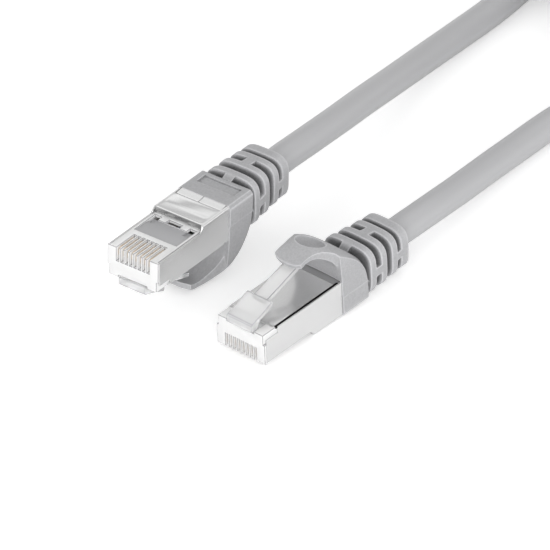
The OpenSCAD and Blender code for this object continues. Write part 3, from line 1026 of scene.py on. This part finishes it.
def shield():
    """The folded sheet of one plug."""
    bm = bmesh.new()
    sections = [shield_section(x) for x in SHIELD_STATIONS]
    rows = []
    for x, section in zip(SHIELD_STATIONS, sections):
        rows.append([bm.verts.new((x, y, z)) for y, z, _ in section])
    spans = zip(rows, rows[1:], sections, SHIELD_STATIONS, SHIELD_STATIONS[1:])
    for row, after, section, x, beyond in spans:
        for j, (_, _, part) in enumerate(section[:-1]):
            if not is_open((x + beyond) / 2, part):
                bm.faces.new((row[j], row[j + 1], after[j + 1], after[j]))
    # The front edge of the contact plate rolls inward
    front = rows[SHIELD_STATIONS.index(STEP[1])]
    parts = [part for _, _, part in sections[0]]
    edge = [v for v, part, before in zip(front, parts, [""] + parts) if "face" in (part, before)]
    lip = [edge]
    for k in (30, 60, 90):
        turn = math.radians(k)
        x, up = STEP[1] - LIP_R * math.sin(turn), LIP_R * (1 - math.cos(turn))
        lip.append([bm.verts.new((x, v.co.y, v.co.z + up)) for v in edge])
    lip.append([bm.verts.new((v.co.x, v.co.y, LIP_END)) for v in lip[-1]])
    for number, (row, after) in enumerate(zip(lip[1:], lip)):
        for j in range(len(edge) - 1):
            face = bm.faces.new((row[j], row[j + 1], after[j + 1], after[j]))
            # The faces at the end of the roll take the darker nickel of painted shade
            face.material_index = 1 if number > 1 else 0
    bmesh.ops.delete(bm, geom=[v for v in bm.verts if not v.link_faces], context="VERTS")
    thicken(bm, SHEET)
    return bm


for plug in "ab":
    metal = add_piece(f"shield_sheet_{plug}", shield(), plug, nickel, nickel_painted_shade)
    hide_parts(f"shield_{plug}")
    print(metal.name, len(metal.data.polygons), "faces")

# %% [markdown]
# Behind the contact plate two ears of the same sheet are folded over towards each other, and
# meet in the middle. They could be part of the shield's grid, but flat pieces of their own are
# simpler. Their front edges are painted black, a painted shadow where the sheet ends in the
# plate's shadow.

# %% Folded ears
# A black finish of painted shade, for the ears' front edges and the gap in the fold
painted_shade_black = finish("painted_shade_black", (0.006, 0.006, 0.006), specular=0.1, Mottle=0.1, Roughness=0.8,
                    Spread=0.1, Grains=4000, Depth=0.000001)
EAR_X = (20.4, 20.45, 20.55, 20.7, 21.2, 21.8, 22.2, 22.5, 23.2)
EAR_Z = (-0.9, -1.05, -1.12, -1.15, -1.22, -1.31, -1.37, -1.41, -1.43)
EAR_Y = (0.07, 5.2)
EAR_SHEET = 0.25


def folded_ears():
    """Both ears, drawn from the middle outwards, with their normals on the outside."""
    bm = bmesh.new()
    for side in (-1, 1):
        rows = [[bm.verts.new((x, side * y, z)) for x, z in zip(EAR_X, EAR_Z)] for y in EAR_Y]
        faces = grid_faces(bm, rows if side > 0 else rows[::-1])
        # The first two columns, at the front edge, take the black of painted shadow
        for face in faces[:2]:
            face.material_index = 1
    bm.normal_update()
    if bm.faces[:][0].normal.z > 0:
        bmesh.ops.reverse_faces(bm, faces=bm.faces)
    thicken(bm, EAR_SHEET)
    return bm


for plug in "ab":
    ears = add_piece(f"shield_ears_{plug}", folded_ears(), plug, nickel, painted_shade_black)
    print(ears.name, len(ears.data.polygons), "faces")

# %% [markdown]
# The fold along the latch face is left open by the press that bends the sheet, and a black strip
# fills it as painted shade, where the gap is in shadow. It is a small section repeated along the
# fold, and shrinks at both ends so that they look rounded.

# %% Painted shade in the fold
# Along the fold, with the strip's share of its full section there
SHADE_STRIP_X = [(3.55, 0.6), (3.7, 0.9), (4.0, 1.0), (21.3, 1.0), (21.6, 0.9), (21.75, 0.6)]
SHADE_STRIP_MIDDLE = (-5.37, 6.28)
SHADE_STRIP_SECTION = [(-0.3, -0.1), (0.3, -0.1), (0.31, 0.14), (0.24, 0.25), (0.0, 0.29), (-0.24, 0.25),
                (-0.31, 0.14)]


def shade_strip():
    """The black strip of painted shade as one closed bar."""
    bm = bmesh.new()
    y, z = SHADE_STRIP_MIDDLE
    rows = []
    for x, share in SHADE_STRIP_X:
        rows.append([bm.verts.new((x, y + across * share, z + up * share)) for across, up in SHADE_STRIP_SECTION])
    grid_faces(bm, rows, closed=True)
    bm.faces.new(rows[0])
    bm.faces.new(rows[-1])
    return bm


for plug in "ab":
    strip = add_piece(f"fold_shade_strip_{plug}", shade_strip(), plug, painted_shade_black)
    print(strip.name, len(strip.data.polygons), "faces")

# %% [markdown]
# ## The clear nose
#
# The housing and the load bar are blocks with straight cut-outs. Booleans could cut them one
# after another, but they leave slivers where cuts meet. So each block is carved on a grid of
# boxes: a box is there or not, and only faces between a full box and an empty one are kept.

# %% Carving
def carve(cuts, is_full):
    """The surface of the full boxes between three lists of cuts."""
    bm = bmesh.new()
    corners = {}

    def corner(*place):
        if place not in corners:
            corners[place] = bm.verts.new([line[i] for line, i in zip(cuts, place)])
        return corners[place]

    counts = [len(line) - 1 for line in cuts]

    def full(place):
        if any(i < 0 or i >= count for i, count in zip(place, counts)):
            return False
        return is_full(*((line[i] + line[i + 1]) / 2 for line, i in zip(cuts, place)))

    for i in range(counts[0]):
        for j in range(counts[1]):
            for k in range(counts[2]):
                if not full((i, j, k)):
                    continue
                for axis in range(3):
                    for step in (0, 1):
                        beyond = [i, j, k]
                        beyond[axis] += 2 * step - 1
                        if full(tuple(beyond)):
                            continue
                        b, c = [other for other in range(3) if other != axis]
                        ring = []
                        for db, dc in ((0, 0), (1, 0), (1, 1), (0, 1)):
                            place = [i, j, k]
                            place[axis] += step
                            place[b] += db
                            place[c] += dc
                            ring.append(corner(*place))
                        bm.faces.new(ring)
    bmesh.ops.recalc_face_normals(bm, faces=bm.faces)
    bmesh.ops.dissolve_limit(bm, angle_limit=0.01, verts=bm.verts, edges=bm.edges)
    return bm


block = carve(([0, 1, 2], [0, 1], [0, 1]), lambda x, y, z: True)
print("two full boxes carve to", len(block.faces), "faces")
block.free()

# %% [markdown]
# Clear polycarbonate bends what lies behind it, and its moulded edges look greyer than its
# faces. The shader's transmission says how much light goes through, and the rest is a white
# haze, because small tool marks scatter light. Glass alone would look too clean. The rounded
# edges take a greyer finish of their own, painted shade for the dark that clear edges show,
# which `soften` gives them by its material number.

# %% Clear plastic
CLEAR_ROUGHNESS = 0.03
CLEAR_GRAINS = 700
CLEAR_DEPTH = 0.0000004


def clear(name, colour, through, ior=1.45):
    """Clear plastic, whose white haze is the share that light does not go through."""
    look = bpy.data.materials.new(name)
    look.use_nodes = True
    shader = look.node_tree.nodes["Principled BSDF"]
    shader.inputs["Base Color"].default_value = (*colour, 1)
    shader.inputs["Roughness"].default_value = CLEAR_ROUGHNESS
    shader.inputs["Transmission Weight"].default_value = through
    shader.inputs["IOR"].default_value = ior
    grains = look.node_tree.nodes.new("ShaderNodeGroup")
    grains.node_tree = grain
    grains.inputs["Grains"].default_value = CLEAR_GRAINS
    grains.inputs["Depth"].default_value = CLEAR_DEPTH
    look.node_tree.links.new(grains.outputs["Normal"], shader.inputs["Normal"])
    return look


nose_plastic = [
    clear("nose_plastic", (1, 1, 1), 0.2, ior=1.35),
    # The second finish is greyer: painted shade on the rounded edges
    clear("nose_edge_shade", (0.5, 0.5, 0.52), 0.45),
]
latch_plastic = [
    clear("latch_plastic", (1, 1, 1), 0.6),
    # The edge finishes are greyer: painted shade on the rounded edges
    clear("latch_edge_shade", (0.55, 0.55, 0.57), 0.6),
    clear("block_edge_shade", (0.8, 0.8, 0.82), 0.6),
]
print(len(nose_plastic) + len(latch_plastic), "clear finishes")

# %% [markdown]
# The housing is the nose that goes into the socket. It has a slot for each contact, a rim and
# shoulders in front, a window under the load bar, and a hollow behind. The cuts below are all
# the places along x, y and z where something starts or ends, and `is_full` says what is left.

# %% Clear housing
# The contacts' spacing and places, then half widths of a slot, the body, the rim and the gap
# between the shoulders
PITCH = 1.02
CONTACT_Y = [PITCH * (k - 3.5) for k in range(8)]
SLOT_HALF = 0.31
HOUSING_HALF = 5.55
RIM_HALF = 5.95
SHOULDER_Y = 3.35
NOSE_ROUND = 0.09
# Along x: the rim's end, the shoulders', the slots', and where the hollow and the notches start
RIM_X = 0.55
SHOULDER_X = 3.9
SLOT_X = 5.6
HOLLOW_X = 6.75
NOTCHES_X = 10.9
WINDOW_X = (7.07, 12.3)
GAP_X = (12.5, 13.5)
WINDOW_HALF = 4.9
GAP_HALF = 1.6
HOUSING_END = 20
# Along z: the floor's inside, the slots' depth, the rim's height, the hollow's and the roof's
FLOOR_Z = 0.6
SLOT_Z = 3.0
RIM_Z = 4.35
HOLLOW_Z = 5.4
ROOF_Z = 6.05
HOUSING_TOP = 6.5
# Two more cuts, where nothing ends, divide the long faces
SPLIT_X = 2.6
SPLIT_Z = 0.12


def housing():
    """The clear block of one plug."""
    x_cuts = [0, RIM_X, SPLIT_X, SHOULDER_X, SLOT_X, HOLLOW_X, NOTCHES_X, *WINDOW_X, *GAP_X, HOUSING_END]
    y_cuts = [y + side * SLOT_HALF for y in CONTACT_Y for side in (-1, 1)]
    for half in (RIM_HALF, HOUSING_HALF, WINDOW_HALF, SHOULDER_Y, GAP_HALF):
        y_cuts += [-half, half]
    z_cuts = [0, SPLIT_Z, FLOOR_Z, SLOT_Z, RIM_Z, HOLLOW_Z, ROOF_Z, HOUSING_TOP]

    def is_full(x, y, z):
        wide = abs(y)
        if wide > HOUSING_HALF and (x > RIM_X or z > RIM_Z):
            return False
        if z > ROOF_Z:
            return x < SHOULDER_X and wide > SHOULDER_Y
        if x < SLOT_X and z < SLOT_Z and any(abs(y - middle) < SLOT_HALF for middle in CONTACT_Y):
            return False
        if z < FLOOR_Z and wide < WINDOW_HALF:
            if WINDOW_X[0] < x < WINDOW_X[1] or (GAP_X[0] < x < GAP_X[1] and wide < GAP_HALF):
                return False
            if NOTCHES_X < x < GAP_X[1] and wide > SHOULDER_Y:
                return False
        return not (x > HOLLOW_X and FLOOR_Z < z < HOLLOW_Z and wide < WINDOW_HALF)

    bm = carve((sorted(x_cuts), sorted(y_cuts), z_cuts), is_full)
    # The rounded edges take the greyer finish of painted shade
    soften(bm, NOSE_ROUND, material=1)
    return bm


for plug in "ab":
    nose = add_piece(f"clear_nose_{plug}", housing(), plug, *nose_plastic, smooth_angle=30)
    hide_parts(f"housing_{plug}")
    print(nose.name, len(nose.data.polygons), "faces")

# %% [markdown]
# The load bar holds the eight wires in a row while they are pushed under the contacts. It shows
# grey through the window. It is carved like the housing, with a square hole for each wire.

# %% Load bar
bar_plastic = finish("bar_plastic", (0.42, 0.42, 0.43), Mottle=0.05, Roughness=0.5, Spread=0.1,
                     Grains=4000, Depth=0.000003)
BAR_X = (7.12, 10.9, 12.3, 13)
BAR_HALF = 4.8
BAR_Z = (0.14, 0.75, 2.53, 3.47, 5.3)
WIRE_HALF = 0.47
BAR_ROUND = 0.08


def load_bar():
    """A block with a hole for each wire, whose rear corners stand lower."""
    wire_cuts = [y + side * WIRE_HALF for y in CONTACT_Y for side in (-1, 1)]

    def is_full(x, y, z):
        if z < BAR_Z[1] and (x > BAR_X[2] or (x > BAR_X[1] and abs(y) > SHOULDER_Y)):
            return False
        in_hole = any(abs(y - middle) < WIRE_HALF for middle in CONTACT_Y)
        return not (BAR_Z[2] < z < BAR_Z[3] and in_hole)

    y_cuts = sorted([-BAR_HALF, -SHOULDER_Y, SHOULDER_Y, BAR_HALF] + wire_cuts)
    bm = carve((BAR_X, y_cuts, BAR_Z), is_full)
    soften(bm, BAR_ROUND)
    return bm


for plug in "ab":
    bar = add_piece(f"wire_bar_{plug}", load_bar(), plug, bar_plastic)
    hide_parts(f"load_bar_{plug}")
    print(bar.name, len(bar.data.polygons), "faces")

# %% [markdown]
# Each contact is a thin gold-plated blade, stamped from sheet, and its two tines bite into the
# wire. Its outline is one face that is extruded to its thickness, which is how a stamped part
# gets its shape too.

# %% Contacts
gold = finish("gold", (0.8, 0.66, 0.5), metallic=1.0, Mottle=0.06, Roughness=0.25, Spread=0.1,
              Grains=6000, Depth=0.000001)
BLADE_HALF = 0.21
BLADE = [(0.55, 0.75), (0.75, 0.42), (1.1, 0.32), (4.9, 0.32), (5.25, 0.45), (5.4, 0.8), (5.4, 1.9),
         (4.1, 1.9), (3.9, 3.0), (3.7, 1.9), (2.4, 1.9), (2.2, 3.0), (2.0, 1.9), (0.55, 1.9)]


def plate(outline, half, y=0.0):
    """An outline in x and z given thickness either side of y."""
    bm = bmesh.new()
    face = bm.faces.new([bm.verts.new((x, y - half, z)) for x, z in outline])
    out = bmesh.ops.extrude_face_region(bm, geom=[face])
    moved = [v for v in out["geom"] if isinstance(v, bmesh.types.BMVert)]
    bmesh.ops.translate(bm, vec=(0, 2 * half, 0), verts=moved)
    bmesh.ops.recalc_face_normals(bm, faces=bm.faces)
    return bm


for plug in "ab":
    for number, y in enumerate(CONTACT_Y, 1):
        stamped = plate(BLADE, BLADE_HALF, y)
        soften(stamped, CUT_EDGE, segments=1, angle=60)
        blade = add_piece(f"blade_{plug}{number}", stamped, plug, gold)
        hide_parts(f"contact_{plug}{number}")
    print("plug", plug, "has", len(CONTACT_Y), "blades")

# %% [markdown]
# The latch is one clear moulding: a broad block that clicks behind the socket's shoulders, and
# a narrower lever that runs up under the boot's hood. Both are outlines in x and z, extruded
# like the blades, but their edges are rounded as a mould leaves them. They ride on the latch's
# own body, so that they bend down with it.

# %% Latch
# Where the latch grows out of the nose and how many degrees it rises, then outlines from there
LATCH_ROOT = (1.0, 7.0)
LATCH_TILT = 17
BLOCK_HALF = 3.1
BLOCK = [(-1.48, -0.39), (-1.04, 1.05), (-0.71, 1.26), (1.42, 1.24), (5.29, 1.57), (5.58, 1.33),
         (5.35, 0.56), (4.84, 0.4), (1.6, 0.4), (0.9, 0.04), (0.64, -0.46), (0.27, -0.82), (-0.36, -0.83)]
LEVER_HALF = 1.6
LEVER = [(4.6, 0.5), (5.2, 0.1), (15.3, 0.05), (15.6, 0.3), (15.6, 0.9), (15.3, 1.15), (5.2, 1.15),
         (4.8, 1.0)]
LATCH_ROUND = 0.14


def latch():
    """Block and lever, turned up to the latch's slope about its root."""
    block = plate(BLOCK, BLOCK_HALF)
    # The block's rounded edges take the lighter painted shade, and the lever's the darker
    soften(block, LATCH_ROUND, angle=25, material=2)
    lever = plate(LEVER, LEVER_HALF)
    soften(lever, LATCH_ROUND, angle=25, material=1)
    both = bpy.data.meshes.new("latch")
    lever.to_mesh(both)
    lever.free()
    block.from_mesh(both)
    turn = Matrix.Rotation(math.radians(-LATCH_TILT), 4, "Y")
    block.transform(Matrix.Translation((LATCH_ROOT[0], 0, LATCH_ROOT[1])) @ turn)
    return block


for plug in "ab":
    clip = add_piece(f"latch_clip_{plug}", latch(), plug, *latch_plastic, body=f"latch_{plug}",
                     smooth_angle=30)
    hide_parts(f"latch_{plug}")
    print(clip.name, "rides on", f"latch_{plug}")

# %% [markdown]
# ## Inside the plugs
#
# What shows only through clear plastic or a gap, or not at all, could be modelled again, but its
# CAD solid is good enough and only gets a finish. The pairs' insulation is muted, because it
# is seen through haze. The cores are bare copper, the drain wire is tinned, and the foil is
# crumpled by its deep, coarse grain.

# %% Hidden pieces
INSULATION = {
    "blue": (0.5, 0.56, 0.68),
    "orange": (0.78, 0.64, 0.52),
    "green": (0.52, 0.64, 0.55),
    "brown": (0.6, 0.53, 0.48),
}
copper = finish("copper", (0.9, 0.55, 0.38), metallic=1.0, Mottle=0.1, Roughness=0.3, Spread=0.1,
                Grains=3000, Depth=0.000001)
tinned = finish("tinned", (0.75, 0.75, 0.74), metallic=1.0, Mottle=0.1, Roughness=0.35, Spread=0.1,
                Grains=3000, Depth=0.000001)
foil = finish("foil", (0.85, 0.85, 0.86), metallic=1.0, Mottle=0.15, Roughness=0.3, Spread=0.2,
              Grains=900, Depth=0.00003)
mould_plastic = finish("mould_plastic", (0.36, 0.36, 0.365), Mottle=0.1, Roughness=0.55, Spread=0.1,
                       Grains=4000, Depth=0.00001)


def paint(node, look):
    """Gives a CAD node its finish."""
    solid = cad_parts[node]
    solid.data.materials.clear()
    solid.data.materials.append(look)


for plug in "ab":
    for colour, tint in INSULATION.items():
        insulation = finish(f"{colour}_insulation_{plug}", tint, Mottle=0.05, Roughness=0.4,
                            Spread=0.1, Grains=2500, Depth=0.000002)
        paint(f"{colour}_pair_{plug}", insulation)
    paint(f"conductors_{plug}", copper)
    paint(f"drain_wire_{plug}", tinned)
    paint(f"foil_{plug}", foil)
    paint(f"jacket_end_{plug}", jacket_plastic)
    paint(f"inner_mould_{plug}", mould_plastic)
print(len(bpy.data.materials), "materials")

# %% [markdown]
# ## The room
#
# The plugs lie on a plain white floor that catches their shadows. A brighter lamp would whiten
# it, but would bleach the plugs too. So the floor glows a little instead, only for rays from
# the camera and rays through clear plastic, and sheds no light on the plugs.

# %% Floor
FLOOR_HALF = 1.5
FLOOR_WHITE = 0.93
FLOOR_GLOW = 0.33
floor_mesh = bmesh.new()
bmesh.ops.create_grid(floor_mesh, x_segments=1, y_segments=1, size=FLOOR_HALF)
floor_data = bpy.data.meshes.new("floor")
floor_mesh.to_mesh(floor_data)
floor_mesh.free()
floor = bpy.data.objects.new("floor", floor_data)
bpy.context.collection.objects.link(floor)
floor_paint = bpy.data.materials.new("floor_paint")
floor_paint.use_nodes = True
floor_shader = floor_paint.node_tree.nodes["Principled BSDF"]
floor_shader.inputs["Base Color"].default_value = (FLOOR_WHITE, FLOOR_WHITE, FLOOR_WHITE, 1)
floor_shader.inputs["Roughness"].default_value = 0.9
floor_shader.inputs["Specular IOR Level"].default_value = 0.0
floor_tree = floor_paint.node_tree
rays = floor_tree.nodes.new("ShaderNodeLightPath")
watched = maths(floor_tree, "MAXIMUM", rays.outputs["Is Camera Ray"], rays.outputs["Is Transmission Ray"])
floor_glow = maths(floor_tree, "MULTIPLY", watched, FLOOR_GLOW)
floor_tree.links.new(floor_glow, floor_shader.inputs["Emission Strength"])
floor_data.materials.append(floor_paint)
print("floor", 2 * FLOOR_HALF, "m wide")

# %% [markdown]
# Nickel shows little but what it mirrors. An evenly white sky would leave it flat, so the sky is
# bright at the horizon, darker above it, bright again in a high ring and dimmer overhead. The
# ramp reads the height of a direction, which is the sine of its elevation.

# %% Sky
# The sine of the elevation and how bright the sky is there
SKY = [(0.0, 1.0), (0.28, 0.85), (0.4, 0.46), (0.55, 0.44), (0.64, 0.58), (0.76, 0.9), (0.88, 0.66),
       (1.0, 0.5)]
SKY_LEVEL = 1.15
world = bpy.data.worlds.new("world")
bpy.context.scene.world = world
world.use_nodes = True
tree = world.node_tree
direction = tree.nodes.new("ShaderNodeTexCoord")
split = tree.nodes.new("ShaderNodeSeparateXYZ")
shades = tree.nodes.new("ShaderNodeValToRGB")
tree.links.new(direction.outputs["Generated"], split.inputs[0])
tree.links.new(split.outputs["Z"], shades.inputs["Fac"])
tree.links.new(shades.outputs["Color"], tree.nodes["Background"].inputs["Color"])
tree.nodes["Background"].inputs["Strength"].default_value = SKY_LEVEL
stops = shades.color_ramp.elements
while len(stops) < len(SKY):
    stops.new(0.5)
for stop, (height, bright) in zip(stops, SKY):
    stop.position = height
    stop.color = (bright, bright, bright, 1)
print("sky:", len(stops), "stops")

# %% [markdown]
# Two round lamps are added to the sky. The key is small and stands high behind the plugs, and the
# fill is broad and stands low in front of their noses. The view transform Standard shows a
# colour as it is written.

# %% Lamps
# Each lamp's place, size and power
LAMPS = {"key": ((0.1, 0.75, 1.0), 0.8, 0.6), "fill": ((-0.9, -0.9, 0.36), 1.2, 11.5)}
for name, (place, size, power) in LAMPS.items():
    lamp_data = bpy.data.lights.new(name, "AREA")
    lamp_data.shape = "DISK"
    lamp_data.size = size
    lamp_data.energy = power
    lamp = bpy.data.objects.new(name, lamp_data)
    bpy.context.collection.objects.link(lamp)
    lamp.location = place
    lamp.rotation_euler = (-Vector(place)).to_track_quat("-Z", "Y").to_euler()
bpy.context.scene.view_settings.view_transform = "Standard"
print(len(LAMPS), "lamps")
